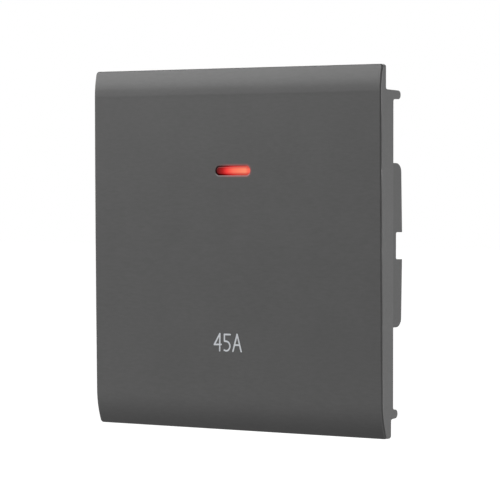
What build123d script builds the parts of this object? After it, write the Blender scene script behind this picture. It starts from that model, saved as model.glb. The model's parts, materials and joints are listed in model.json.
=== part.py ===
"""Wall switch for an air conditioner: a full-face rocker key over a double-pole mechanism.

Lengths are in millimetres. The origin is the centre of the wall face, +Y points into the
wall, -Y towards the person, +Z up and +X to the right as the switch is seen from the room.
The key stands in its ON position.
"""

from build123d import *
from math import cos, pi, radians, sin
import os

# Key: one moulded tray that fills the whole front
KEY_SIZE = 86.0
KEY_STAND_OFF = 12.0
WALL = 2.0
FACE_SKIN = 2.1
EDGE_RADIUS = 0.4
CORNER_RADIUS = 0.8
FACE_CROWN = 0.24
FACE_LEAN = 0.71
TOP_ROLL_Z = 36.8
TOP_ROLL_DROP = 0.8
BOTTOM_ROLL_Z = -34.5
BOTTOM_ROLL_DROP = 2.37
TOP_LIP_DEPTH = 2.05
BOTTOM_LIP_DEPTH = 4.2
SIDE_WALL_DEPTH = 5.0
FLANGE_THICKNESS = 2.2
FLANGE_DRAFT = 0.25
FLANGE_END_RADIUS = 0.9
FLANGE_ROOT_RADIUS = 0.5
TOP_FLANGE_Z = 36.1
TOP_FLANGE_DEPTH = 7.85
BOTTOM_FLANGE_Z = -37.4
BOTTOM_FLANGE_DEPTH = 6.75

# Skirt tabs on the key's sides, notched in the middle
TAB_INSET = 1.0
TAB_TOP_Z = 20.35
TAB_BOTTOM_Z = -17.5
TAB_DEPTH = 9.93
TAB_END_DEPTH = 9.55
TAB_CORNER_RADIUS = 2.1
NOTCH_TOP_Z = 4.42
NOTCH_BOTTOM_Z = -1.82
NOTCH_DEPTH = 7.5

# Indicator window in the key
LENS_X = 0.0
LENS_Z = 18.7
LENS_LENGTH = 9.9
LENS_HEIGHT = 1.8
LENS_GAP = 0.2
SLOT_BEVEL = 0.12
LENS_RECESS = 0.05
LENS_EDGE_BEVEL = 0.22
LENS_FLANGE = 1.3
LENS_BACK_DEPTH = 4.0

# Rocking axis and the two poles
AXIS_Y = -3.0
KEY_TRAVEL_DEG = 5.0
POLE_X = 10.0
SPRING_TURNS = 5
SPRING_RUNS_PER_TURN = 12
SIDES = {"left": -1, "right": 1}
RUNNING_GAP = 0.06

# Small round holes, shanks, heads and noses that stay hidden are drawn with this many sides
SMALL_SIDES = 12

# Mounting frame for a wall box with 60.3 mm fixing centres
FRAME_WIDTH = 75.0
FRAME_HEIGHT = 67.0
FRAME_THICKNESS = 2.8
FIXING_CENTRES = 60.3
FIXING_SLOT_WIDTH = 4.2
FIXING_SLOT_LENGTH = 7.0

# Housing behind the frame
HOUSING_WIDTH = 41.0
HOUSING_HEIGHT = 60.0
HOUSING_DEPTH = 25.0
HOUSING_WALL = 1.8
HOUSING_SEAT_DEPTH = 0.6
CHAMBER_HEIGHT = 32.0
POLE_BARRIER = 2.0
COVER_FRONT_Y = 0.6
COVER_THICKNESS = 1.8

# Contacts
STRIP_THICKNESS = 1.2
STRIP_WIDTH = 8.0
ARM_WIDTH = 5.6
ARM_THICKNESS = 1.6
ARM_TILT_DEG = 6.0
ARM_PIVOT_Y = 16.5
ARM_UP = 14.5
ARM_DOWN = 12.5
TIP_REACH = 12.0
TIP_HALF_WIDTH = 2.4
TIP_HEIGHT = 1.2
TIP_CROWN = 0.7
CONTACT_GAP = 0.1

# Terminals
TERMINAL_WIDTH = 10.0
TERMINAL_HEIGHT = 11.0
TERMINAL_Z = 22.5
WIRE_BORE_RADIUS = 3.3
WIRE_BORE_Y = 15.0
CLAMP_SCREW_RADIUS = 2.4
CLAMP_HEAD_RADIUS = 3.6
DRIVER_HOLE_RADIUS = 4.0

half_key = KEY_SIZE / 2
front_y = -KEY_STAND_OFF
housing_front_y = -HOUSING_SEAT_DEPTH
housing_back_y = HOUSING_DEPTH
housing_floor_y = housing_back_y - 2.0
strip_front_y = housing_floor_y - STRIP_THICKNESS
cover_back_y = COVER_FRONT_Y + COVER_THICKNESS

os.makedirs("parts", exist_ok=True)


def behind(depth):
    """Y of a point that lies the given depth behind the key's front plane."""
    return front_y + depth


def facing(y):
    """Sketch plane across the switch at the given Y, seen from the room: X right, Z up."""
    return Plane.XZ.offset(-y)


def side_on(x):
    """Sketch plane seen from the side at the given X: its first axis is Y, its second Z."""
    return Plane.YZ.offset(x)


def small_hole(radius):
    """Outline of a small hidden hole that clears a round of the given radius."""
    return RegularPolygon(radius, SMALL_SIDES, major_radius=False)


def small_round(radius):
    """Outline of a small hidden shank that stays within the given radius."""
    return RegularPolygon(radius, SMALL_SIDES)


def save(part, name):
    """Name a finished piece and write it."""
    part.label = name
    export_step(part, f"parts/{name}.step")


# Key cover
with BuildPart() as key_cover:
    with BuildSketch(Plane.YZ) as key_side:
        with BuildLine():
            face_bottom = (behind(FACE_LEAN), BOTTOM_ROLL_Z)
            face_top = (front_y, TOP_ROLL_Z)
            bottom_edge = (behind(BOTTOM_ROLL_DROP), -half_key)
            top_edge = (behind(TOP_ROLL_DROP), half_key)
            TangentArc(face_bottom, bottom_edge, tangent=(0, -1))
            ThreePointArc(face_bottom, (behind(FACE_CROWN), 0), face_top)
            TangentArc(face_top, top_edge, tangent=(0, 1))
            Polyline(
                top_edge,
                (behind(TOP_LIP_DEPTH), half_key),
                (behind(TOP_LIP_DEPTH), TOP_FLANGE_Z),
                (behind(SIDE_WALL_DEPTH), TOP_FLANGE_Z),
                (behind(SIDE_WALL_DEPTH), BOTTOM_FLANGE_Z),
                (behind(BOTTOM_LIP_DEPTH), BOTTOM_FLANGE_Z),
                (behind(BOTTOM_LIP_DEPTH), -half_key),
                bottom_edge,
            )
        make_face()
        # the two flanges taper a little towards their rounded ends
        for up, flange_z, lip_depth, flange_depth in (
            (1, TOP_FLANGE_Z, TOP_LIP_DEPTH, TOP_FLANGE_DEPTH),
            (-1, BOTTOM_FLANGE_Z, BOTTOM_LIP_DEPTH, BOTTOM_FLANGE_DEPTH),
        ):
            outer_z = flange_z + up * FLANGE_THICKNESS / 2
            inner_z = flange_z - up * FLANGE_THICKNESS / 2
            with BuildLine():
                Polyline(
                    (behind(lip_depth - 0.5), outer_z),
                    (behind(lip_depth), outer_z),
                    (behind(flange_depth), outer_z - up * FLANGE_DRAFT),
                    (behind(flange_depth), inner_z),
                    (behind(SIDE_WALL_DEPTH), inner_z),
                    (behind(lip_depth - 0.5), inner_z),
                    close=True,
                )
            make_face()
            flange_ends = key_side.vertices().filter_by(
                lambda v: abs(v.X - behind(flange_depth)) < 0.01
            )
            fillet(flange_ends, radius=FLANGE_END_RADIUS)
            flange_roots = [
                key_side.vertices().sort_by_distance((behind(lip_depth), outer_z))[0],
                key_side.vertices().sort_by_distance((behind(SIDE_WALL_DEPTH), inner_z))[0],
            ]
            fillet(flange_roots, radius=FLANGE_ROOT_RADIUS)
    extrude(amount=half_key, both=True)

    # rounded outer edges of the front
    corner_edges = key_cover.edges().filter_by(Axis.Y).filter_by(
        lambda e: abs(e.center().X) > half_key - 0.1 and abs(e.center().Z) > half_key - 0.1
    )
    fillet(corner_edges, radius=CORNER_RADIUS)
    rim_faces = key_cover.faces().filter_by(
        lambda f: f.center().Y < behind(2.0) and abs(f.normal_at().Y) > 0.9
    )
    rim_edges = rim_faces.edges().filter_by(
        lambda e: e.center().Y < behind(TOP_LIP_DEPTH - 0.1) or e.center().Z < -half_key + 0.1
    ).filter_by(
        lambda e: max(abs(e.center().X), abs(e.center().Z)) > half_key - CORNER_RADIUS
    )
    fillet(rim_edges, radius=EDGE_RADIUS)

    # hollow of the tray between the two flanges
    hollow_top = TOP_FLANGE_Z - FLANGE_THICKNESS / 2
    hollow_bottom = BOTTOM_FLANGE_Z + FLANGE_THICKNESS / 2
    floor_top = behind(FACE_SKIN)
    floor_bottom = behind(FACE_SKIN + FACE_LEAN)
    with BuildSketch(Plane.YZ):
        with BuildLine():
            Polyline(
                (floor_top, hollow_top),
                (behind(SIDE_WALL_DEPTH + 1), hollow_top),
                (behind(SIDE_WALL_DEPTH + 1), hollow_bottom),
                (floor_bottom, hollow_bottom),
                close=True,
            )
        make_face()
    extrude(amount=half_key - WALL, both=True, mode=Mode.SUBTRACT)

    # skirt tabs, one on each side, sloped away from the notch so that they clear the wall
    for side in SIDES.values():
        with BuildSketch(side_on(side * (half_key - TAB_INSET - WALL / 2))) as tab:
            with BuildLine():
                Polyline(
                    (behind(FACE_SKIN), TAB_TOP_Z),
                    (behind(TAB_END_DEPTH), TAB_TOP_Z),
                    (behind(TAB_DEPTH), NOTCH_TOP_Z),
                    (behind(NOTCH_DEPTH), NOTCH_TOP_Z),
                    (behind(NOTCH_DEPTH), NOTCH_BOTTOM_Z),
                    (behind(TAB_DEPTH), NOTCH_BOTTOM_Z),
                    (behind(TAB_END_DEPTH), TAB_BOTTOM_Z),
                    (behind(FACE_SKIN), TAB_BOTTOM_Z),
                    close=True,
                )
            make_face()
            tab_corners = tab.vertices().filter_by(
                lambda v: abs(v.X - behind(TAB_END_DEPTH)) < 0.01
            )
            fillet(tab_corners, radius=TAB_CORNER_RADIUS)
            notch_corners = tab.vertices().filter_by(
                lambda v: abs(v.X - behind(NOTCH_DEPTH)) < 0.01
            )
            fillet(notch_corners, radius=0.4)
        extrude(amount=WALL / 2, both=True)

    # stiffening ribs behind the face
    rib_back_y = behind(4.3)
    rib_thickness = 1.2
    rib_x = 26.0
    rib_z = 27.0
    rib_root_y = behind(FACE_SKIN - 0.4)
    hollow_mid = (hollow_top + hollow_bottom) / 2
    with BuildSketch(facing(rib_back_y)):
        with Locations((-rib_x, hollow_mid), (rib_x, hollow_mid)):
            Rectangle(rib_thickness, hollow_top - hollow_bottom)
        with Locations((0, rib_z), (0, -rib_z)):
            Rectangle(KEY_SIZE - 2 * WALL, rib_thickness)
    extrude(amount=rib_back_y - rib_root_y)

    # pads that the carrier beds on, and the four clips that hold it
    carrier_front_y = behind(3.4)
    carrier_back_y = carrier_front_y + 1.8
    carrier_half_z = 12.0
    pad_spacing_x = 28.0
    pad_spacing_z = 14.0
    pad_size = 4.4
    with BuildSketch(facing(carrier_front_y)):
        with GridLocations(pad_spacing_x, pad_spacing_z, 2, 2):
            Rectangle(pad_size, pad_size)
    extrude(amount=carrier_front_y - rib_root_y)
    clip_x = 13.5
    clip_half_width = 3.0
    clip_thickness = 1.4
    clip_barb = 0.7
    clip_barb_length = 1.3
    clip_play = 0.1
    for side in SIDES.values():
        for up in (-1, 1):
            inner_z = carrier_half_z + clip_play
            outer_z = inner_z + clip_thickness
            with BuildSketch(side_on(side * clip_x)):
                with BuildLine():
                    Polyline(
                        (rib_root_y, up * inner_z),
                        (carrier_back_y + clip_play, up * inner_z),
                        (carrier_back_y + clip_play, up * (inner_z - clip_barb)),
                        (carrier_back_y + clip_barb_length, up * inner_z),
                        (carrier_back_y + clip_barb_length, up * outer_z),
                        (rib_root_y, up * outer_z),
                        close=True,
                    )
                make_face()
            extrude(amount=clip_half_width, both=True)

    # collar behind the indicator window, then the window through it
    collar_back_y = behind(4.2)
    collar_wall = 1.0
    collar_play = 0.1
    flange_length = LENS_LENGTH + 2 * LENS_FLANGE
    flange_height = LENS_HEIGHT + 2 * LENS_FLANGE
    with BuildSketch(facing(collar_back_y)):
        with Locations((LENS_X, LENS_Z)):
            SlotOverall(flange_length + 2 * collar_wall, flange_height + 2 * collar_wall)
    extrude(amount=collar_back_y - rib_root_y)
    lens_seat_y = behind(FACE_SKIN)
    with BuildSketch(facing(collar_back_y)):
        with Locations((LENS_X, LENS_Z)):
            SlotOverall(flange_length + collar_play, flange_height + collar_play)
    extrude(amount=collar_back_y - lens_seat_y, mode=Mode.SUBTRACT)
    with BuildSketch(facing(lens_seat_y)):
        with Locations((LENS_X, LENS_Z)):
            SlotOverall(LENS_LENGTH + 2 * LENS_GAP, LENS_HEIGHT + 2 * LENS_GAP)
    extrude(amount=FACE_SKIN + 1, mode=Mode.SUBTRACT)
    window_rim = key_cover.edges().filter_by(
        lambda e: e.center().Y < behind(1.0)
        and abs(e.center().X - LENS_X) < LENS_LENGTH / 2 + 1
        and abs(e.center().Z - LENS_Z) < LENS_HEIGHT
    )
    chamfer(window_rim, length=SLOT_BEVEL)
save(key_cover.part, "key_cover")

# Indicator lens: a light pipe with a flange that seats in the collar
with BuildPart() as indicator_lens:
    with BuildSketch(facing(lens_seat_y)):
        with Locations((LENS_X, LENS_Z)):
            SlotOverall(LENS_LENGTH, LENS_HEIGHT)
    extrude(amount=lens_seat_y - behind(LENS_RECESS))
    with BuildSketch(facing(behind(LENS_BACK_DEPTH))):
        with Locations((LENS_X, LENS_Z)):
            SlotOverall(flange_length, flange_height)
    extrude(amount=behind(LENS_BACK_DEPTH) - lens_seat_y)
    lens_front_edges = indicator_lens.edges().group_by(Axis.Y)[0]
    chamfer(lens_front_edges, length=LENS_EDGE_BEVEL)
save(indicator_lens.part, "indicator_lens")

# Rocker carrier: the key clips on its plate, its trunnions turn in the frame's cheeks
plunger_lean = radians(KEY_TRAVEL_DEG / 2)
plunger_direction = Vector(0, cos(plunger_lean), sin(plunger_lean))
tube_outer_radius = 3.4
tube_bore_radius = 2.55
tube_length = 12.8
trunnion_radius = 1.8
lug_radius = 2.6
lug_root_half_z = 6.0
lug_inner_x = 15.6
lug_outer_x = 17.4
trunnion_end_x = 19.8
web_thickness = 1.4
carrier_half_x = 19.0
corner_cut = 1.2
lamp_gap_width = 8.0
lamp_gap_height = 14.0


def across_plunger(side, reach):
    """Plane across one plunger's axis, the given reach behind the rocking axis."""
    axis_point = Vector(side * POLE_X, AXIS_Y, 0)
    return Plane(
        origin=axis_point + plunger_direction * reach, x_dir=(1, 0, 0), z_dir=plunger_direction
    )


with BuildPart() as rocker_carrier:
    with BuildSketch(facing(carrier_back_y)):
        plate = Rectangle(2 * carrier_half_x, 2 * carrier_half_z)
        chamfer(plate.vertices(), length=corner_cut)
        Rectangle(lamp_gap_width, lamp_gap_height, mode=Mode.SUBTRACT)
    extrude(amount=carrier_back_y - carrier_front_y)
    for side in SIDES.values():
        with BuildSketch(across_plunger(side, tube_length)):
            Circle(tube_outer_radius)
        extrude(amount=-(tube_length + AXIS_Y - carrier_back_y + 0.4))
        with BuildSketch(side_on(side * (lug_inner_x + lug_outer_x) / 2)):
            with BuildLine():
                Polyline(
                    (carrier_back_y - 0.5, lug_root_half_z),
                    (AXIS_Y, lug_radius),
                    (AXIS_Y, -lug_radius),
                    (carrier_back_y - 0.5, -lug_root_half_z),
                    close=True,
                )
            make_face()
            with Locations((AXIS_Y, 0)):
                Circle(lug_radius)
        extrude(amount=(lug_outer_x - lug_inner_x) / 2, both=True)
        with BuildSketch(side_on(side * lug_inner_x)):
            with Locations((AXIS_Y, 0)):
                Circle(trunnion_radius)
        extrude(amount=side * (trunnion_end_x - lug_inner_x))
        # web that ties the lug to the plunger tube
        web_back_y = AXIS_Y - 1.0
        with BuildSketch(facing(web_back_y)):
            with Locations((side * (POLE_X + lug_inner_x) / 2, 0)):
                Rectangle(lug_inner_x - POLE_X, web_thickness)
        extrude(amount=web_back_y - carrier_back_y)
        with BuildSketch(across_plunger(side, tube_length)):
            Circle(tube_bore_radius)
        extrude(amount=-(tube_length - 1.0), mode=Mode.SUBTRACT)
save(rocker_carrier.part, "rocker_carrier")

# Plungers: nylon noses that ride on the contact arms, pushed by coil springs
plunger_back = 9.0
plunger_shoulder = 14.2
nose_radius = 1.4
nose_start = 16.4
nose_tip_radius = 0.5
nose_tip = 17.76
plunger_radius = tube_bore_radius - RUNNING_GAP
nose_shoulder = 0.15
nose_steps = (
    (plunger_shoulder, plunger_radius - nose_shoulder),
    (nose_start, nose_radius),
    (nose_tip - 0.4 * nose_radius, 0.8 * nose_radius),
    (nose_tip, nose_tip_radius),
)
spring_front = 1.3
spring_wire_radius = 0.3
spring_radius = 1.9
for side_name, side in SIDES.items():
    with BuildPart() as plunger:
        with BuildSketch(across_plunger(side, plunger_back)):
            Circle(plunger_radius)
        extrude(amount=plunger_shoulder - plunger_back)
        for reach, radius in nose_steps:
            with BuildSketch(across_plunger(side, reach)):
                small_round(radius)
        loft(ruled=True)
    save(plunger.part, f"plunger_{side_name}")

    # the coil is a helix drawn as short runs
    spring_length = plunger_back - spring_front - 2 * spring_wire_radius
    spring_plane = across_plunger(side, spring_front + spring_wire_radius)
    spring_steps = SPRING_TURNS * SPRING_RUNS_PER_TURN
    spring_points = []
    for step in range(spring_steps + 1):
        turn = 2 * pi * step / SPRING_RUNS_PER_TURN
        spring_points.append(
            spring_plane.from_local_coords(
                Vector(
                    spring_radius * cos(turn),
                    spring_radius * sin(turn),
                    spring_length * step / spring_steps,
                )
            )
        )
    with BuildPart() as plunger_spring:
        with BuildLine():
            coil = Polyline(spring_points)
        with BuildSketch(Plane(origin=coil @ 0, z_dir=coil % 0)):
            RegularPolygon(spring_wire_radius, 4)
        sweep(path=coil, transition=Transition.RIGHT)
    save(plunger_spring.part, f"plunger_spring_{side_name}")

# Mounting frame: screwed to the wall box, it carries the rocker and the housing
frame_front_y = -FRAME_THICKNESS
frame_rim = 1.4
frame_rim_height = 1.0
frame_corner_radius = 4.0
window_half_x = 17.8
window_half_z = 9.5
cheek_outer_x = 20.4
cheek_radius = 2.8
slot_boss = 2.2
field_x = 29.0
field_z = 19.0
field_width = 12.0
field_height = 22.0
cheek_top_half_z = 3.4
cheek_root_half_z = 5.5
cheek_land = 1.2
case_screw_x = 17.6
case_screw_z = 26.4
case_screw_radius = 1.25
case_screw_play = 0.2
case_screw_head_radius = 2.4
case_screw_head_height = 1.1
case_screw_head_depth = 1.2
case_screw_cross_length = 2.8
case_screw_cross_width = 0.6
case_screw_cross_depth = 0.7
case_screw_length = 12.3
case_screw_pilot_depth = 12.0
lamp_board_top_z = 23.5
lamp_board_bottom_z = 10.6
lamp_board_half_x = 8.2
lamp_board_back_y = -1.4
lamp_board_thickness = 1.0
lead_radius = 0.45
lead_play = 0.35
lead_x = 6.3
lead_z = 12.0
with BuildPart() as mounting_frame:
    with BuildSketch(facing(0)):
        RectangleRounded(FRAME_WIDTH, FRAME_HEIGHT, frame_corner_radius)
        Rectangle(2 * window_half_x, 2 * window_half_z, mode=Mode.SUBTRACT)
    extrude(amount=FRAME_THICKNESS)
    # raised rim round the edge, and bosses round the fixing slots
    with BuildSketch(facing(frame_front_y)):
        RectangleRounded(FRAME_WIDTH, FRAME_HEIGHT, frame_corner_radius)
        RectangleRounded(
            FRAME_WIDTH - 2 * frame_rim,
            FRAME_HEIGHT - 2 * frame_rim,
            frame_corner_radius - frame_rim,
            mode=Mode.SUBTRACT,
        )
        for side in SIDES.values():
            with Locations((side * FIXING_CENTRES / 2, 0)):
                SlotOverall(FIXING_SLOT_LENGTH + 2 * slot_boss, FIXING_SLOT_WIDTH + 2 * slot_boss)
    extrude(amount=frame_rim_height)
    # sunk fields between the ribs of the two wings
    field_floor_y = -1.4
    with BuildSketch(facing(frame_front_y)):
        for side in SIDES.values():
            for up in (-1, 1):
                with Locations((side * field_x, up * field_z)):
                    Rectangle(field_width, field_height)
    extrude(amount=frame_front_y - field_floor_y, mode=Mode.SUBTRACT)
    # slots for the fixing screws
    with BuildSketch(facing(0)):
        with GridLocations(FIXING_CENTRES, 1, 2, 1):
            SlotOverall(FIXING_SLOT_LENGTH, FIXING_SLOT_WIDTH)
    extrude(amount=KEY_STAND_OFF / 2, mode=Mode.SUBTRACT)
    # bearing cheeks for the carrier's trunnions
    for side in SIDES.values():
        cheek_x = side * (window_half_x + cheek_outer_x) / 2
        with BuildSketch(side_on(cheek_x)):
            with BuildLine():
                Polyline(
                    (frame_front_y + 0.5, cheek_root_half_z),
                    (AXIS_Y - cheek_land, cheek_top_half_z),
                    (AXIS_Y - cheek_land, -cheek_top_half_z),
                    (frame_front_y + 0.5, -cheek_root_half_z),
                    close=True,
                )
            make_face()
            with Locations((AXIS_Y, 0)):
                Circle(cheek_radius)
            Rectangle(
                2 * cheek_radius,
                4 * cheek_radius,
                align=(Align.MIN, Align.CENTER),
                mode=Mode.SUBTRACT,
            )
        extrude(amount=(cheek_outer_x - window_half_x) / 2, both=True)
        with BuildSketch(side_on(side * (window_half_x - 1))):
            with Locations((AXIS_Y, 0)):
                Circle(trunnion_radius + RUNNING_GAP)
        extrude(amount=side * (cheek_outer_x + 1 - window_half_x), mode=Mode.SUBTRACT)
    # shallow seat in the back that takes the housing's rim
    with BuildSketch(facing(0)):
        seat = Rectangle(HOUSING_WIDTH + 0.2, HOUSING_HEIGHT + 0.2)
        chamfer(seat.vertices(), length=corner_cut)
    extrude(amount=HOUSING_SEAT_DEPTH, mode=Mode.SUBTRACT)
    # seat for the lamp board, and the holes for its leads and for the case screws
    with BuildSketch(facing(lamp_board_back_y)):
        with Locations((0, (lamp_board_top_z + lamp_board_bottom_z) / 2)):
            Rectangle(2 * lamp_board_half_x + 0.2, lamp_board_top_z - lamp_board_bottom_z + 0.2)
    extrude(amount=lamp_board_back_y - frame_front_y, mode=Mode.SUBTRACT)
    with BuildSketch(facing(0)):
        for side in SIDES.values():
            with Locations((side * lead_x, lead_z)):
                small_hole(lead_radius + lead_play)
        with GridLocations(2 * case_screw_x, 2 * case_screw_z, 2, 2):
            small_hole(case_screw_radius + case_screw_play)
    extrude(amount=FRAME_THICKNESS, mode=Mode.SUBTRACT)
    with BuildSketch(facing(frame_front_y)):
        with GridLocations(2 * case_screw_x, 2 * case_screw_z, 2, 2):
            small_hole(case_screw_head_radius + 0.1)
    extrude(amount=-case_screw_head_depth, mode=Mode.SUBTRACT)
save(mounting_frame.part, "mounting_frame")

# Base housing: two contact chambers, four terminal pockets, a barrier between the poles
chamber_outer_x = HOUSING_WIDTH / 2 - HOUSING_WALL
pocket_half_x = TERMINAL_WIDTH / 2 + 0.1
pocket_inner_z = TERMINAL_Z - TERMINAL_HEIGHT / 2 - 0.1
pocket_outer_z = TERMINAL_Z + TERMINAL_HEIGHT / 2 + 0.1
with BuildPart() as base_housing:
    with BuildSketch(facing(housing_back_y)):
        body = Rectangle(HOUSING_WIDTH, HOUSING_HEIGHT)
        chamfer(body.vertices(), length=corner_cut)
    extrude(amount=housing_back_y - housing_front_y)
    chamfer(base_housing.faces().sort_by(Axis.Y)[-1].edges(), length=0.6)
    # recess that takes the inner cover
    recess_width = HOUSING_WIDTH - 2 * HOUSING_WALL + 0.4
    recess_height = HOUSING_HEIGHT - 2 * HOUSING_WALL + 0.4
    with BuildSketch(facing(housing_front_y)):
        Rectangle(recess_width, recess_height)
    extrude(amount=housing_front_y - cover_back_y, mode=Mode.SUBTRACT)
    for side in SIDES.values():
        chamber_mid_x = side * (POLE_BARRIER / 2 + chamber_outer_x) / 2
        with BuildSketch(facing(0)):
            with Locations((chamber_mid_x, 0)):
                Rectangle(chamber_outer_x - POLE_BARRIER / 2, CHAMBER_HEIGHT)
            for up in (-1, 1):
                with Locations((side * POLE_X, up * (pocket_inner_z + pocket_outer_z) / 2)):
                    Rectangle(2 * pocket_half_x, pocket_outer_z - pocket_inner_z)
        extrude(amount=-housing_floor_y, mode=Mode.SUBTRACT)
        # slots through which the strips reach the terminals
        with BuildSketch(facing(strip_front_y - 0.2)):
            with Locations((side * POLE_X, 0)):
                Rectangle(STRIP_WIDTH + 0.4, 2 * pocket_outer_z - 2)
        extrude(amount=strip_front_y - 0.2 - housing_floor_y, mode=Mode.SUBTRACT)
        # wire entries in the two ends
        for up in (-1, 1):
            with BuildSketch(Plane.XY.offset(up * (pocket_outer_z - 0.5))):
                with Locations((side * POLE_X, WIRE_BORE_Y)):
                    Circle(WIRE_BORE_RADIUS + 0.9)
            extrude(amount=up * HOUSING_WALL * 2, mode=Mode.SUBTRACT)
    # screwdriver holes in the back, and pilot holes for the case screws
    with BuildSketch(facing(housing_back_y)):
        with GridLocations(2 * POLE_X, 2 * TERMINAL_Z, 2, 2):
            Circle(DRIVER_HOLE_RADIUS)
    extrude(amount=housing_back_y - housing_floor_y, mode=Mode.SUBTRACT)
    with BuildSketch(facing(0)):
        with GridLocations(2 * case_screw_x, 2 * case_screw_z, 2, 2):
            small_hole(case_screw_radius + 0.02)
    extrude(amount=-case_screw_pilot_depth, mode=Mode.SUBTRACT)
save(base_housing.part, "base_housing")

# Inner cover: insulating plate between the mechanism and the live chambers
with BuildPart() as inner_cover:
    with BuildSketch(facing(cover_back_y)):
        Rectangle(recess_width - 0.2, recess_height - 0.2)
        for side in SIDES.values():
            with Locations((side * POLE_X, 0)):
                Rectangle(
                    2 * tube_outer_radius + 0.9,
                    2 * tube_outer_radius + 2.4,
                    mode=Mode.SUBTRACT,
                )
        with Locations((-lead_x, lead_z), (lead_x, lead_z)):
            RegularPolygon(
                lead_radius + lead_play, SMALL_SIDES, major_radius=False, mode=Mode.SUBTRACT
            )
    extrude(amount=COVER_THICKNESS)
    # rim that the frame presses on, and ribs that press the terminals home
    with BuildSketch(facing(housing_front_y)):
        Rectangle(recess_width - 0.2, recess_height - 0.2)
        Rectangle(recess_width - 2.4, recess_height - 2.4, mode=Mode.SUBTRACT)
    extrude(amount=-(COVER_FRONT_Y - housing_front_y))
    with BuildSketch(facing(housing_front_y)):
        with GridLocations(2 * case_screw_x, 2 * case_screw_z, 2, 2):
            small_hole(case_screw_radius + case_screw_play)
    extrude(amount=housing_front_y - cover_back_y, mode=Mode.SUBTRACT)
    for up in (-1, 1):
        with BuildSketch(facing(cover_back_y)):
            with GridLocations(2 * POLE_X, 1, 2, 1):
                with Locations((0, up * TERMINAL_Z)):
                    Rectangle(TERMINAL_WIDTH - 2, 1.4)
        extrude(amount=-(strip_front_y - TERMINAL_HEIGHT - cover_back_y))
save(inner_cover.part, "inner_cover")

# Contacts and terminals of the two poles
tilt = radians(ARM_TILT_DEG)
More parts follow.
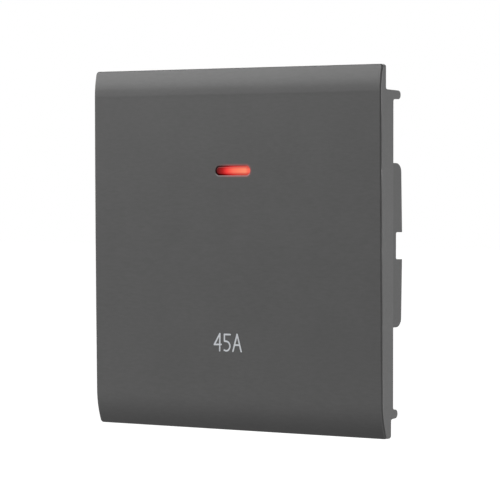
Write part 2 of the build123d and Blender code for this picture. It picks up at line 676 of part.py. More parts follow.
# the moving button's crown is an arc, and the fixed button faces its rearmost point
crown_radius = (TIP_HALF_WIDTH**2 + TIP_CROWN**2) / (2 * TIP_CROWN)
crown_centre = TIP_HEIGHT - crown_radius
tip_face_y = (
    ARM_PIVOT_Y + TIP_REACH * sin(tilt) + crown_centre * cos(tilt) + crown_radius + CONTACT_GAP
)
tip_face_z = TIP_REACH * cos(tilt) - crown_centre * sin(tilt)
fixed_tip_height = 1.0
ridge_radius = 0.5
rest_stop_y = ARM_PIVOT_Y + ARM_DOWN * sin(tilt) + 0.2
for side_name, side in SIDES.items():
    pole_x = side * POLE_X
    # plane along the arm in its closed position: first axis to the rear, second up the arm
    arm_plane = Plane(
        origin=(pole_x, ARM_PIVOT_Y, 0), x_dir=(0, cos(tilt), -sin(tilt)), z_dir=(1, 0, 0)
    )
    with BuildPart() as moving_contact:
        with BuildSketch(arm_plane):
            with Locations((-ARM_THICKNESS / 2, (ARM_UP - ARM_DOWN) / 2)):
                Rectangle(ARM_THICKNESS, ARM_UP + ARM_DOWN)
            Circle(ridge_radius + RUNNING_GAP, mode=Mode.SUBTRACT)
        extrude(amount=ARM_WIDTH / 2, both=True)
        arm_ends = moving_contact.edges().filter_by(
            lambda e: abs(e.length - ARM_THICKNESS) < 0.01
        )
        chamfer(arm_ends, length=1.0)
    save(moving_contact.part, f"moving_contact_{side_name}")

    # contact button: crowned along the arm, it faces the fixed contact
    with BuildPart() as moving_tip:
        with BuildSketch(arm_plane):
            with BuildLine():
                lower_edge = (TIP_HEIGHT - TIP_CROWN, TIP_REACH - TIP_HALF_WIDTH)
                upper_edge = (TIP_HEIGHT - TIP_CROWN, TIP_REACH + TIP_HALF_WIDTH)
                ThreePointArc(lower_edge, (TIP_HEIGHT, TIP_REACH), upper_edge)
                Polyline(
                    upper_edge,
                    (0, TIP_REACH + TIP_HALF_WIDTH),
                    (0, TIP_REACH - TIP_HALF_WIDTH),
                    lower_edge,
                )
            make_face()
        extrude(amount=TIP_HALF_WIDTH, both=True)
    save(moving_tip.part, f"moving_tip_{side_name}")

    with BuildPart() as fixed_tip:
        with BuildSketch(facing(tip_face_y + fixed_tip_height)):
            with Locations((pole_x, tip_face_z)):
                Rectangle(2 * TIP_HALF_WIDTH, 2 * TIP_HALF_WIDTH)
        extrude(amount=fixed_tip_height)
    save(fixed_tip.part, f"fixed_tip_{side_name}")

    seat_y = tip_face_y + fixed_tip_height
    with BuildPart() as fixed_contact:
        with BuildSketch(side_on(pole_x)):
            with BuildLine():
                Polyline(
                    (seat_y, 8.4),
                    (seat_y, 14.4),
                    (strip_front_y, 15.8),
                    (strip_front_y, pocket_outer_z - 0.2),
                    (housing_floor_y, pocket_outer_z - 0.2),
                    (housing_floor_y, 15.3),
                    (seat_y + STRIP_THICKNESS, 13.8),
                    (seat_y + STRIP_THICKNESS, 8.4),
                    close=True,
                )
            make_face()
        extrude(amount=STRIP_WIDTH / 2, both=True)
        with BuildSketch(facing(strip_front_y)):
            with Locations((pole_x, TERMINAL_Z)):
                small_hole(CLAMP_SCREW_RADIUS + 0.2)
        extrude(amount=-STRIP_THICKNESS, mode=Mode.SUBTRACT)
    save(fixed_contact.part, f"fixed_contact_{side_name}")

    # pivot strip: a knife edge with two ears under the arm, and a hump that stops its lower end
    with BuildPart() as pivot_terminal:
        with BuildSketch(side_on(pole_x)):
            with BuildLine():
                Polyline(
                    (strip_front_y, 1.8),
                    (strip_front_y, -8.8),
                    (rest_stop_y, -10.2),
                    (rest_stop_y, -13.4),
                    (strip_front_y, -14.8),
                    (strip_front_y, -pocket_outer_z + 0.2),
                    (housing_floor_y, -pocket_outer_z + 0.2),
                    (housing_floor_y, -14.3),
                    (rest_stop_y + STRIP_THICKNESS, -12.9),
                    (rest_stop_y + STRIP_THICKNESS, -10.7),
                    (housing_floor_y, -9.3),
                    (housing_floor_y, 1.8),
                    close=True,
                )
            make_face()
        extrude(amount=STRIP_WIDTH / 2, both=True)
        with BuildSketch(side_on(pole_x)):
            with Locations((ARM_PIVOT_Y, 0)):
                Rectangle(
                    strip_front_y - ARM_PIVOT_Y,
                    2 * ridge_radius,
                    align=(Align.MIN, Align.CENTER),
                )
                Circle(ridge_radius)
        extrude(amount=STRIP_WIDTH / 2, both=True)
        ear_width = (STRIP_WIDTH - ARM_WIDTH) / 2 - 0.2
        ear_front_y = ARM_PIVOT_Y - ARM_THICKNESS - 0.6
        for ear in (-1, 1):
            with BuildSketch(side_on(pole_x + ear * (STRIP_WIDTH - ear_width) / 2)):
                with Locations((ear_front_y, 0)):
                    Rectangle(
                        strip_front_y - ear_front_y,
                        2 * ridge_radius,
                        align=(Align.MIN, Align.CENTER),
                    )
            extrude(amount=ear_width / 2, both=True)
        with BuildSketch(facing(strip_front_y)):
            with Locations((pole_x, -TERMINAL_Z)):
                small_hole(CLAMP_SCREW_RADIUS + 0.2)
        extrude(amount=-STRIP_THICKNESS, mode=Mode.SUBTRACT)
    save(pivot_terminal.part, f"pivot_terminal_{side_name}")

    for end_name, up in (("top", 1), ("bottom", -1)):
        with BuildPart() as terminal_block:
            with BuildSketch(facing(strip_front_y)):
                with Locations((pole_x, up * TERMINAL_Z)):
                    Rectangle(TERMINAL_WIDTH, TERMINAL_HEIGHT)
            extrude(amount=TERMINAL_HEIGHT)
            with BuildSketch(Plane.XY.offset(up * TERMINAL_Z)):
                with Locations((pole_x, WIRE_BORE_Y)):
                    Circle(WIRE_BORE_RADIUS)
            extrude(amount=TERMINAL_HEIGHT, both=True, mode=Mode.SUBTRACT)
            with BuildSketch(facing(strip_front_y)):
                with Locations((pole_x, up * TERMINAL_Z)):
                    small_hole(CLAMP_SCREW_RADIUS + 0.03)
            extrude(amount=strip_front_y - WIRE_BORE_Y, mode=Mode.SUBTRACT)
        save(terminal_block.part, f"terminal_block_{end_name}_{side_name}")

# Clamp screws of the terminals, backed off to leave the wire bores open
clamp_screw_tip_y = WIRE_BORE_Y + WIRE_BORE_RADIUS + 0.3
clamp_head_front_y = housing_floor_y + 0.1
clamp_head_back_y = housing_back_y - 0.1
clamp_slot_width = 1.0
clamp_slot_depth = 0.9
clamp_slot_turn_deg = 35
with BuildPart() as terminal_screws:
    with BuildSketch(facing(clamp_head_front_y)):
        with GridLocations(2 * POLE_X, 2 * TERMINAL_Z, 2, 2):
            small_round(CLAMP_SCREW_RADIUS)
    extrude(amount=clamp_head_front_y - clamp_screw_tip_y)
    with BuildSketch(facing(clamp_head_front_y)):
        with GridLocations(2 * POLE_X, 2 * TERMINAL_Z, 2, 2):
            Circle(CLAMP_HEAD_RADIUS)
    extrude(amount=clamp_head_front_y - clamp_head_back_y)
    with BuildSketch(facing(clamp_head_back_y)):
        with GridLocations(2 * POLE_X, 2 * TERMINAL_Z, 2, 2):
            Rectangle(
                2 * CLAMP_HEAD_RADIUS + 0.2, clamp_slot_width, rotation=clamp_slot_turn_deg
            )
    extrude(amount=clamp_slot_depth, mode=Mode.SUBTRACT)
save(terminal_screws.part, "terminal_screws")

# Case screws: cheese heads, from the frame through the inner cover into the housing
with BuildPart() as case_screws:
    case_screw_seat_y = frame_front_y + case_screw_head_depth
    with BuildSketch(facing(case_screw_seat_y)):
        with GridLocations(2 * case_screw_x, 2 * case_screw_z, 2, 2):
            small_round(case_screw_radius)
    extrude(amount=-case_screw_length)
    with BuildSketch(facing(case_screw_seat_y)):
        with GridLocations(2 * case_screw_x, 2 * case_screw_z, 2, 2):
            small_round(case_screw_head_radius)
    extrude(amount=case_screw_head_height)
    with BuildSketch(facing(case_screw_seat_y - case_screw_head_height)):
        with GridLocations(2 * case_screw_x, 2 * case_screw_z, 2, 2):
            Rectangle(case_screw_cross_length, case_screw_cross_width)
            Rectangle(case_screw_cross_width, case_screw_cross_length)
    extrude(amount=-case_screw_cross_depth, mode=Mode.SUBTRACT)
save(case_screws.part, "case_screws")

# Indicator lamp: a lamp and its resistor on a small board behind the window
lamp_board_front_y = lamp_board_back_y - lamp_board_thickness
lamp_radius = 1.5
lamp_rim = 0.3
lamp_rim_height = 0.8
lamp_front_y = -5.6
with BuildPart() as lamp_board:
    with BuildSketch(facing(lamp_board_back_y)):
        with Locations((0, (lamp_board_top_z + lamp_board_bottom_z) / 2)):
            Rectangle(2 * lamp_board_half_x, lamp_board_top_z - lamp_board_bottom_z)
        for side in SIDES.values():
            with Locations((side * lead_x, lead_z)):
                RegularPolygon(
                    lead_radius + 0.02, SMALL_SIDES, major_radius=False, mode=Mode.SUBTRACT
                )
    extrude(amount=lamp_board_thickness)
save(lamp_board.part, "lamp_board")

lamp_height = lamp_board_front_y - lamp_front_y
lamp_plane = Plane(
    origin=(LENS_X, lamp_board_front_y, LENS_Z), x_dir=(1, 0, 0), z_dir=(0, 0, -1)
)
with BuildPart() as lamp:
    with BuildSketch(lamp_plane):
        with BuildLine():
            Polyline(
                (0, lamp_height),
                (0, 0),
                (lamp_radius + lamp_rim, 0),
                (lamp_radius + lamp_rim, lamp_rim_height),
                (lamp_radius, lamp_rim_height),
                (lamp_radius, lamp_height - 0.5 * lamp_radius),
                (0.5 * lamp_radius, lamp_height),
                close=True,
            )
        make_face()
    revolve(axis=Axis((LENS_X, 0, LENS_Z), (0, 1, 0)))
save(lamp.part, "lamp")

resistor_z = 13.2
resistor_radius = 1.1
resistor_half = 3.1
resistor_leg = 0.55
with BuildPart() as resistor:
    with BuildSketch(side_on(-resistor_half)):
        with Locations((lamp_board_front_y - resistor_radius - 0.1, resistor_z)):
            Circle(resistor_radius)
    extrude(amount=2 * resistor_half)
    leg_y = lamp_board_front_y - resistor_radius - 0.1
    leg_out = resistor_half + 1.2
    for side in SIDES.values():
        with BuildSketch(side_on(side * (resistor_half - 0.2))):
            with Locations((leg_y, resistor_z)):
                Rectangle(resistor_leg, resistor_leg)
        extrude(amount=side * (leg_out - resistor_half + 0.2 + resistor_leg / 2))
        with BuildSketch(facing(lamp_board_front_y)):
            with Locations((side * leg_out, resistor_z)):
                Rectangle(resistor_leg, resistor_leg)
        extrude(amount=lamp_board_front_y - leg_y)
save(resistor.part, "resistor")

for side_name, side in SIDES.items():
    with BuildPart() as lamp_lead:
        with BuildSketch(facing(seat_y)):
            with Locations((side * lead_x, lead_z)):
                small_round(lead_radius)
        extrude(amount=seat_y - lamp_board_front_y + 0.4)
    save(lamp_lead.part, f"lamp_lead_{side_name}")
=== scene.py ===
"""Air conditioner switch: finishes, rating mark, lit window, springs and studio, as an add-on."""

import json
from math import cos, pi, radians, sin

import bmesh
import bpy
from bpy.props import FloatProperty, FloatVectorProperty, PointerProperty
from mathutils import Matrix, Vector
from mathutils.bvhtree import BVHTree


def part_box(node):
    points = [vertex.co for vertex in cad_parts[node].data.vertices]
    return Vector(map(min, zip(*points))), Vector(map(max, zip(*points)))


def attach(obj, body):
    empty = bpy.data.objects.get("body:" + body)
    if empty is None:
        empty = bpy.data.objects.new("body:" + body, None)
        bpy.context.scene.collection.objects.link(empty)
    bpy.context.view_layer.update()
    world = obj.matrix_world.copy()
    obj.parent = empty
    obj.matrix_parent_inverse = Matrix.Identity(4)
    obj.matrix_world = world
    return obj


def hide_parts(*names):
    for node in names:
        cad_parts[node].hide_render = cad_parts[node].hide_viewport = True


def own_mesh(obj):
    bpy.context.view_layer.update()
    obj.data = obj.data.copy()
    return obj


bl_info = {
    "name": "Air conditioner switch",
    "version": (1, 0, 0),
    "blender": (4, 5, 0),
    "location": "View3D > Sidebar > Switch",
    "description": "Finishes and details of a full-face wall switch with a lit window",
    "category": "Object",
}

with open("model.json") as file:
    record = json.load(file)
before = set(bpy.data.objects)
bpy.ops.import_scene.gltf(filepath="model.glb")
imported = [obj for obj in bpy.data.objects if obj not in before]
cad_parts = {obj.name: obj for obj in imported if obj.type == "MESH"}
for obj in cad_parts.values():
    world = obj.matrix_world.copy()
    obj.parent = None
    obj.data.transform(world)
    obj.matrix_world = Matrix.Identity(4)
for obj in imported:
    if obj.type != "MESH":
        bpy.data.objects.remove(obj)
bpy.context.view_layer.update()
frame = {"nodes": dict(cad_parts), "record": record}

MM = 0.001

LENS_FLANGE = 1.3 * MM
LENS_GAP = 0.2 * MM

key_low, key_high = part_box("key_cover")
lens_low, lens_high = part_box("indicator_lens")
key_front_y = key_low.y
lens_centre = (lens_low + lens_high) / 2
window_half_length = (lens_high.x - lens_low.x) / 2 - LENS_FLANGE
window_half_height = (lens_high.z - lens_low.z) / 2 - LENS_FLANGE


# Settings that a user would change


class KeySettings(bpy.types.PropertyGroup):
    """Finish of the rocker key."""

    colour: FloatVectorProperty(
        name="Key colour",
        description="Moulded-in colour of the key",
        default=(0.087, 0.0868, 0.0868),
        size=3,
        min=0.0,
        max=1.0,
        subtype="COLOR",
    )
    roughness: FloatProperty(
        name="Roughness",
        description="How far the satin surface spreads a reflection",
        default=0.30,
        min=0.0,
        max=1.0,
        subtype="FACTOR",
    )
    grain_size: FloatProperty(
        name="Grain size",
        description="Width of one pit of the spark-eroded grain",
        default=0.28 * MM,
        unit="LENGTH",
    )
    grain_depth: FloatProperty(
        name="Grain depth",
        description="Depth of the grain",
        default=0.004 * MM,
        unit="LENGTH",
    )
    streak_width: FloatProperty(
        name="Streak width",
        description="Width of one faint level streak",
        default=0.5 * MM,
        unit="LENGTH",
    )
    streak_depth: FloatProperty(
        name="Streak depth",
        description="How far the streaks change the tone",
        default=0.12,
        min=0.0,
        max=1.0,
    )
    # Painted shade on the upper rolled edge
    upper_painted_shade: FloatProperty(
        name="Upper shade",
        description="How much darker the upper rolled edge is",
        default=0.15,
        min=0.0,
        max=1.0,
    )
    # Painted shade on the lower rolled edge, strongest at its end
    lower_painted_shade: FloatProperty(
        name="Lower shade",
        description="How much darker the lower rolled edge is at its end",
        default=0.45,
        min=0.0,
        max=1.0,
    )


class MarkSettings(bpy.types.PropertyGroup):
    """Printed rating mark."""

    colour: FloatVectorProperty(
        name="Ink colour",
        description="Colour of the printed mark",
        default=(0.60, 0.62, 0.65),
        size=3,
        min=0.0,
        max=1.0,
        subtype="COLOR",
    )
    height: FloatProperty(
        name="Height",
        description="Height of the figures, centre line to centre line",
        default=4.02 * MM,
        unit="LENGTH",
    )
    stroke: FloatProperty(
        name="Stroke",
        description="Width of the printed line",
        default=0.40 * MM,
        unit="LENGTH",
    )
    ink_thickness: FloatProperty(
        name="Ink thickness",
        description="How far the ink stands off the key",
        default=0.02 * MM,
        unit="LENGTH",
    )
    left: FloatProperty(
        name="Left end",
        description="Left end of the first figure, from the middle of the key",
        default=-5.84 * MM,
        unit="LENGTH",
    )
    base: FloatProperty(
        name="Base line",
        description="Height of the base line, from the middle of the key",
        default=-24.10 * MM,
        unit="LENGTH",
    )


class WindowSettings(bpy.types.PropertyGroup):
    """Lit window of the key."""

    glow: FloatProperty(
        name="Glow",
        description="Strength of the light in the window",
        default=1.0,
        min=0.0,
        max=5.0,
    )
    edge_colour: FloatVectorProperty(
        name="Unlit colour",
        description="Colour of the window where no light reaches it",
        default=(0.03, 0.002, 0.002),
        size=3,
        subtype="COLOR",
    )
    # Strength of the painted highlight on the window's bevelled edge
    edge_painted_highlight: FloatProperty(
        name="Edge light",
        description="Paleness of the window's bevelled edge",
        default=0.05,
        min=0.0,
    )


class SpringSettings(bpy.types.PropertyGroup):
    """Coil springs that push the plungers."""

    wire_radius: FloatProperty(
        name="Wire radius",
        description="Radius of the spring wire",
        default=0.26 * MM,
        unit="LENGTH",
    )
    turns: FloatProperty(
        name="Turns",
        description="Number of coils, closed ends included",
        default=6.5,
        min=3.0,
    )
    clearance: FloatProperty(
        name="End clearance",
        description="Room kept between the last coil and what it presses on",
        default=0.03 * MM,
        unit="LENGTH",
    )


class StudioSettings(bpy.types.PropertyGroup):
    """Camera and lights."""

    azimuth: FloatProperty(
        name="Azimuth",
        description="Camera angle to the right of the key's front",
        default=radians(38.10),
        subtype="ANGLE",
    )
    elevation: FloatProperty(
        name="Elevation",
        description="Camera angle above the key's middle",
        default=radians(1.214),
        subtype="ANGLE",
    )
    distance: FloatProperty(
        name="Distance",
        description="Camera distance from the middle of the key's front",
        default=740.9 * MM,
        unit="LENGTH",
    )
    lens: FloatProperty(
        name="Focal length",
        description="Focal length in millimetres on a 36 mm sensor",
        default=225.45,
    )
    shift_x: FloatProperty(
        name="Shift X",
        description="Sideways shift of the frame that places the switch as photographed",
        default=0.0353,
    )
    shift_y: FloatProperty(
        name="Shift Y",
        description="Upward shift of the frame",
        default=-0.0008,
    )
    key_light: FloatProperty(
        name="Key light",
        description="Power of the large light at the upper left of the front",
        default=6.25,
        unit="POWER",
    )
    side_light: FloatProperty(
        name="Side light",
        description="Power of the light behind the right side",
        default=4.0,
        unit="POWER",
    )
    rear_light: FloatProperty(
        name="Rear light",
        description="Power of the large light above and behind the housing",
        default=4.5,
        unit="POWER",
    )
    clearance: FloatProperty(
        name="Clearance",
        description="Height of the key's lower edge over the floor",
        default=110 * MM,
        unit="LENGTH",
    )
    fill: FloatProperty(
        name="Fill",
        description="Strength of the light that comes from all round",
        default=0.12,
        min=0.0,
    )


# Helpers for meshes and materials

# Noise lies mostly between these values
NOISE_SPAN = (0.3, 0.7)
CLOUD_SIZE = 14 * MM
GLOSS_SPREAD = 0.05
# Metal: drawn lines run along Z, patches of tone are small, and gloss varies more than on plastic
DRAWN_STRETCH = (1.0, 1.0, 0.12)
PATCH_SIZE = 3 * MM
PATCH_TONES = (0.86, 1.05)
METAL_GLOSS = (-0.08, 0.12)


def add_mesh(name, bm, material, body):
    """Turn a bmesh into a piece that rides on a body."""
    mesh = bpy.data.meshes.new(name)
    bmesh.ops.recalc_face_normals(bm, faces=bm.faces)
    bm.to_mesh(mesh)
    bm.free()
    piece = bpy.data.objects.new(name, mesh)
    bpy.context.scene.collection.objects.link(piece)
    mesh.materials.append(material)
    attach(piece, body)
    return piece


def new_material(name):
    """A node material, its shader and its object coordinates."""
    material = bpy.data.materials.new(name)
    material.use_nodes = True
    nodes = material.node_tree.nodes
    shader = nodes["Principled BSDF"]
    place = nodes.new("ShaderNodeTexCoord").outputs["Object"]
    return material, shader, place


def feed(owner, node, values):
    """Put sockets and plain values on a node's first inputs."""
    for socket, value in zip(node.inputs, values):
        if isinstance(value, bpy.types.NodeSocket):
            owner.node_tree.links.new(value, socket)
        else:
            socket.default_value = value


def maths(owner, operation, *values):
    """Math node from sockets and plain numbers."""
    node = owner.node_tree.nodes.new("ShaderNodeMath")
    node.operation = operation
    feed(owner, node, values)
    return node.outputs["Value"]


def product(owner, first, *others):
    """All the values multiplied together."""
    for other in others:
        first = maths(owner, "MULTIPLY", first, other)
    return first


def vector_maths(owner, operation, *values, result="Vector"):
    """Vector math node from sockets and plain vectors."""
    node = owner.node_tree.nodes.new("ShaderNodeVectorMath")
    node.operation = operation
    feed(owner, node, values)
    return node.outputs[result]


def mapped(owner, value, start, end, low=0.0, high=1.0, smooth=False):
    """Map start..end to low..high, and hold the ends beyond."""
    node = owner.node_tree.nodes.new("ShaderNodeMapRange")
    if smooth:
        node.interpolation_type = "SMOOTHSTEP"
    node.inputs["From Min"].default_value = start
    node.inputs["From Max"].default_value = end
    node.inputs["To Min"].default_value = low
    node.inputs["To Max"].default_value = high
    owner.node_tree.links.new(value, node.inputs["Value"])
    return node.outputs["Result"]


def between(owner, value, start, end, low=0.0, high=1.0):
    """Smooth step from low at start to high at end."""
    return mapped(owner, value, start, end, low, high, smooth=True)


def noise(material, place, size, detail=3.0):
    """Noise whose features are about the given size in metres."""
    node = material.node_tree.nodes.new("ShaderNodeTexNoise")
    node.inputs["Scale"].default_value = 1.0 / size
    node.inputs["Detail"].default_value = detail
    node.inputs["Roughness"].default_value = 0.55
    material.node_tree.links.new(place, node.inputs["Vector"])
    return node.outputs["Fac"]


def stretched(material, place, scale):
    """Coordinates scaled along each axis: under 1 draws a pattern out."""
    node = material.node_tree.nodes.new("ShaderNodeMapping")
    node.inputs["Scale"].default_value = scale
    material.node_tree.links.new(place, node.inputs["Vector"])
    return node.outputs["Vector"]


def ramp(material, factor, stops):
    """Colour ramp from (position, colour) stops."""
    node = material.node_tree.nodes.new("ShaderNodeValToRGB")
    elements = node.color_ramp.elements
    while len(elements) < len(stops):
        elements.new(0.5)
    for element, (position, colour) in zip(elements, stops):
        element.position = position
        element.color = (*colour, 1.0)
    material.node_tree.links.new(factor, node.inputs["Fac"])
    return node.outputs["Color"]


def bump(material, shader, height, depth):
    """Bump of the given depth in metres on a shader."""
    node = material.node_tree.nodes.new("ShaderNodeBump")
    node.inputs["Distance"].default_value = depth
    material.node_tree.links.new(height, node.inputs["Height"])
    material.node_tree.links.new(node.outputs["Normal"], shader.inputs["Normal"])


def coordinates(material, place):
    """The three object coordinates."""
    node = material.node_tree.nodes.new("ShaderNodeSeparateXYZ")
    material.node_tree.links.new(place, node.inputs["Vector"])
    return node.outputs["X"], node.outputs["Y"], node.outputs["Z"]


def clouded(material, place, size, detail, colour, tones):
    """A colour that drifts between two tones over the given size."""
    cloud = noise(material, place, size, detail)
    stops = [
        (position, tuple(min(1.0, c * tone) for c in colour))
        for position, tone in zip(NOISE_SPAN, tones)
    ]
    return ramp(material, cloud, stops)


def moulded_plastic(name, colour, roughness, grain, depth, mottle=0.06, specular=0.35):
    """Moulded plastic with a fine grain and a slight unevenness of tone and gloss."""
    material, shader, place = new_material(name)
    links = material.node_tree.links
    tone = clouded(material, place, CLOUD_SIZE, 2.0, colour, (1 - mottle, 1 + mottle))
    links.new(tone, shader.inputs["Base Color"])
    pits = noise(material, place, grain, detail=2.0)
    gloss = mapped(material, pits, 0.0, 1.0, roughness - GLOSS_SPREAD, roughness + GLOSS_SPREAD)
    links.new(gloss, shader.inputs["Roughness"])
    bump(material, shader, pits, depth)
    shader.inputs["Specular IOR Level"].default_value = specular
    return material


def worked_metal(name, colour, roughness, scratch, depth):
    """Pressed or turned metal: fine drawn lines and patches of different gloss."""
    material, shader, place = new_material(name)
    links = material.node_tree.links
    lines = noise(material, stretched(material, place, DRAWN_STRETCH), scratch, detail=4.0)
    tone = clouded(material, place, PATCH_SIZE, 3.0, colour, PATCH_TONES)
    links.new(tone, shader.inputs["Base Color"])
    low, high = (roughness + change for change in METAL_GLOSS)
    links.new(mapped(material, lines, 0.0, 1.0, low, high), shader.inputs["Roughness"])
    bump(material, shader, lines, depth)
    shader.inputs["Metallic"].default_value = 1.0
    return material


def finish_node(node, material):
    """Give a CAD node its finish."""
    piece = frame["nodes"][node]
    if piece.material_slots:
        for slot in piece.material_slots:
            slot.material = material
    else:
        piece.data.materials.append(material)


# Key and its print

KEY_MOTTLE = 0.03
KEY_SPECULAR = 0.22
STREAK_STRETCH = (0.25, 1.0, 1.0)

# Distances off the window's outline: where the painted shade of the dark gap ends, and where the
# painted highlight of the lit rim starts and ends
GAP_PAINTED_SHADE = 0.04
GAP_EDGE = (1.1 * LENS_GAP, 1.5 * LENS_GAP)
RIM_START = (1.2 * LENS_GAP, 1.5 * LENS_GAP)
RIM_END = (2.0 * LENS_GAP, 2.7 * LENS_GAP)
RIM_BELOW = 0.7
RIM_PAINTED_HIGHLIGHT = 2.0

# Painted shade on the skirt tabs: depth behind the key's front, distance from its middle, and reach
# up and down
TAB_PAINTED_SHADE = 0.78
TAB_FRONT = (5.0 * MM, 5.2 * MM)
TAB_SIDE = (40.6 * MM, 40.8 * MM)
TAB_REACH = (22.0 * MM, 22.5 * MM)

# Painted shade on the rolled edges: depth behind the front, and distances in from the sides, the
# top and the bottom
ROLL_BACK = (4.2 * MM, 5.0 * MM)
ROLL_SIDE = (0.7 * MM, 0.3 * MM)
UPPER_ROLL = (7.6 * MM, 4.6 * MM)
LOWER_ROLL = 9.0 * MM

# Painted red glow on the key, standing in for light that leaks out round the lens
PAINTED_GLOW_COLOUR = (1.0, 0.05, 0.05, 1.0)
PAINTED_GLOW_STRENGTH = 0.42
LEAK_REACH = 1.3 * MM
LEAK_FALL_OFF = 3.2
LEAK_AT_DARK_END = 0.03
LEAK_IN_GAP = 0.35
LEAK_BACK = (2.4 * MM, 2.6 * MM)


def behind_front(depths):
    """Y of two depths behind the key's front."""
    return [key_front_y + depth for depth in depths]


def distance_off_window(material, x, z):
    """Distance from the outline of the lit window, measured on the face."""
    from_middle = maths(material, "SUBTRACT", x, lens_centre.x)
    past_run = maths(
        material,
        "SUBTRACT",
        maths(material, "ABSOLUTE", from_middle),
        window_half_length - window_half_height,
    )
    past_run = maths(material, "MAXIMUM", past_run, 0.0)
    above = maths(material, "SUBTRACT", z, lens_centre.z)
    squares = maths(
        material,
        "ADD",
        product(material, past_run, past_run),
        product(material, above, above),
    )
    return maths(material, "SUBTRACT", maths(material, "SQRT", squares), window_half_height)


def painted_rim_highlight(material, off_window, z):
    """Gain of the slot's lower rim: a painted highlight where it catches the light."""
    above = maths(material, "SUBTRACT", z, lens_centre.z)
    rim = product(
        material,
        between(material, off_window, *RIM_START),
        between(material, off_window, *RIM_END, 1.0, 0.0),
        between(material, above, -RIM_BELOW * window_half_height, -window_half_height),
    )
    return maths(material, "MULTIPLY_ADD", rim, RIM_PAINTED_HIGHLIGHT, 1.0)


def painted_tab_shade(material, x, y, z):
    """Gain of the skirt tabs: painted shade that makes them a little darker."""
    tab = product(
        material,
        between(material, y, *behind_front(TAB_FRONT)),
        between(material, maths(material, "ABSOLUTE", x), *TAB_SIDE),
        between(material, maths(material, "ABSOLUTE", z), *TAB_REACH, 1.0, 0.0),
    )
    return maths(material, "SUBTRACT", 1.0, product(material, tab, 1 - TAB_PAINTED_SHADE))


def painted_roll_shade(material, x, y, z, settings):
    """Gain of the rolled edges: painted shade, more on the lower one."""
    sides = [key_high.x - inset for inset in ROLL_SIDE]
    heights = [key_high.z - drop for drop in UPPER_ROLL]
    upper = between(material, z, *heights, 0.0, settings.upper_painted_shade)
    lower = between(material, z, key_low.z + LOWER_ROLL, key_low.z, 0.0, settings.lower_painted_shade)
    rolled = product(
        material,
        maths(material, "ADD", upper, lower),
        between(material, maths(material, "ABSOLUTE", x), *sides, 1.0, 0.0),
        between(material, y, *behind_front(ROLL_BACK), 1.0, 0.0),
    )
    return maths(material, "SUBTRACT", 1.0, rolled)


def streak_tone(material, place, settings):
    """Gain of the faint level streaks in the satin surface."""
    drawn = stretched(material, place, STREAK_STRETCH)
    streaks = noise(material, drawn, settings.streak_width, detail=2.0)
    depth = settings.streak_depth
    return mapped(material, streaks, 0.0, 1.0, 1 - depth, 1 + depth)


def painted_leak_glow(material, off_window, painted_gap_shade, x, y):
    """Painted red glow round the lens, strongest by the lamp at its right end."""
    near = between(material, off_window, LEAK_REACH, 0.0)
    dark_end = lens_centre.x - window_half_length
    return product(
        material,
        maths(material, "POWER", near, LEAK_FALL_OFF),
        between(material, x, dark_end, lens_centre.x, LEAK_AT_DARK_END, 1.0),
        maths(material, "MULTIPLY_ADD", painted_gap_shade, 1 - LEAK_IN_GAP, LEAK_IN_GAP),
        between(material, y, *behind_front(LEAK_BACK), 1.0, 0.0),
        PAINTED_GLOW_STRENGTH,
    )


class SWITCH_OT_key_finish(bpy.types.Operator):
    """Give the rocker key its dark grey satin finish, with painted shade, a painted highlight and a
    painted red glow
    """

    bl_idname = "switch.key_finish"
    bl_label = "Key finish"

    def execute(self, context):
        settings = context.scene.switch_key
        material = moulded_plastic(
            "dark grey key plastic",
            settings.colour,
            settings.roughness,
            settings.grain_size,
            settings.grain_depth,
            mottle=KEY_MOTTLE,
            specular=KEY_SPECULAR,
        )
        nodes, links = material.node_tree.nodes, material.node_tree.links
        shader = nodes["Principled BSDF"]
        place = nodes["Texture Coordinate"].outputs["Object"]
        x, y, z = coordinates(material, place)
        off_window = distance_off_window(material, x, z)
        # Painted shade darkens the gap round the lens
        painted_gap_shade = between(material, off_window, *GAP_EDGE, GAP_PAINTED_SHADE, 1.0)
        # Gain on the key's colour: painted shade in the gap, on the tabs and on the rolled edges, a
        # painted highlight on the slot's lower rim, and the real level streaks
        shade = product(
            material,
            painted_gap_shade,
            painted_rim_highlight(material, off_window, z),
            painted_tab_shade(material, x, y, z),
            painted_roll_shade(material, x, y, z, settings),
            streak_tone(material, place, settings),
        )
        darker = nodes.new("ShaderNodeVectorMath")
        darker.operation = "SCALE"
        links.new(shader.inputs["Base Color"].links[0].from_socket, darker.inputs[0])
        links.new(shade, darker.inputs["Scale"])
        links.new(darker.outputs["Vector"], shader.inputs["Base Color"])

        # Painted red glow on the key round the lens, standing in for the lamp's light
        painted_glow = painted_leak_glow(material, off_window, painted_gap_shade, x, y)
        links.new(painted_glow, shader.inputs["Emission Strength"])
        shader.inputs["Emission Color"].default_value = PAINTED_GLOW_COLOUR
        finish_node("key_cover", material)
        return {"FINISHED"}


def arc_points(centre, radius, start, end, steps):
    """Points on an arc, angles in degrees."""
    return [
        (
            centre[0] + radius[0] * cos(radians(start + (end - start) * i / steps)),
            centre[1] + radius[1] * sin(radians(start + (end - start) * i / steps)),
        )
        for i in range(steps + 1)
    ]


